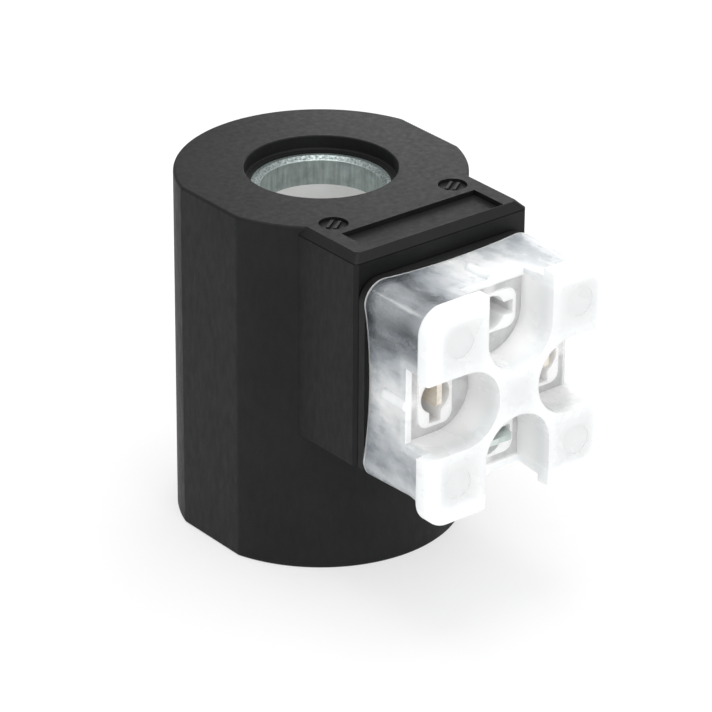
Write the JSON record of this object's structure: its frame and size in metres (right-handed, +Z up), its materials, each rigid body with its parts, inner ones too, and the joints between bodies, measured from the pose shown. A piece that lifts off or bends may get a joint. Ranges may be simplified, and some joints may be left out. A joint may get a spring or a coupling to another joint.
{
  "type": "cartridge valve coil",
  "caption": "Moulded solenoid coil with a through bore for a cartridge valve's tube, a square plug face with flat blades, and a see-through protective cap that pulls off them.",
  "frame": {"origin": "on the bore axis, halfway between the two end faces", "axes": "+Z up along the bore axis; -Y out of the plug face; X across the plug face"},
  "size_m": [0.0374, 0.0605, 0.05],
  "materials": {
    "black_nylon": "moulded glass-filled nylon, fine grain",
    "zinc_plated_steel": "zinc plated, dull",
    "white_nylon": "moulded, satin",
    "enamelled_copper": "enamelled wire",
    "polyester_tape": "smooth tape",
    "brass": "stamped or turned, tin flashed",
    "passivated_steel": "zinc plated, blue-green passivated",
    "lead_sleeving": "woven and varnished",
    "solder": "bright solder",
    "milky_polyethylene": "moulded, milky and see-through"
  },
  "bodies": {
    "coil": {"overmould_body": "black_nylon", "terminal_base": "black_nylon", "top_flux_ring": "zinc_plated_steel", "bottom_flux_ring": "zinc_plated_steel", "yoke_sleeve": "zinc_plated_steel", "bobbin": "white_nylon", "winding": "enamelled_copper", "winding_tape": "polyester_tape", "line_terminal_left": "brass", "line_terminal_right": "brass", "ground_terminal": "passivated_steel", "ground_strap": "zinc_plated_steel", "start_lead": "enamelled_copper", "finish_lead": "enamelled_copper", "start_lead_sleeving": "lead_sleeving", "finish_lead_sleeving": "lead_sleeving", "start_solder_joint": "solder", "finish_solder_joint": "solder", "screw_insert": "brass"},
    "cap": {"terminal_cap": "milky_polyethylene"}
  },
  "joints": [
    {"name": "cap_slide", "type": "slide", "parent": "coil", "child": "cap", "axis": [0, -1, 0], "range_m": [0, 0.03]}
  ]
}
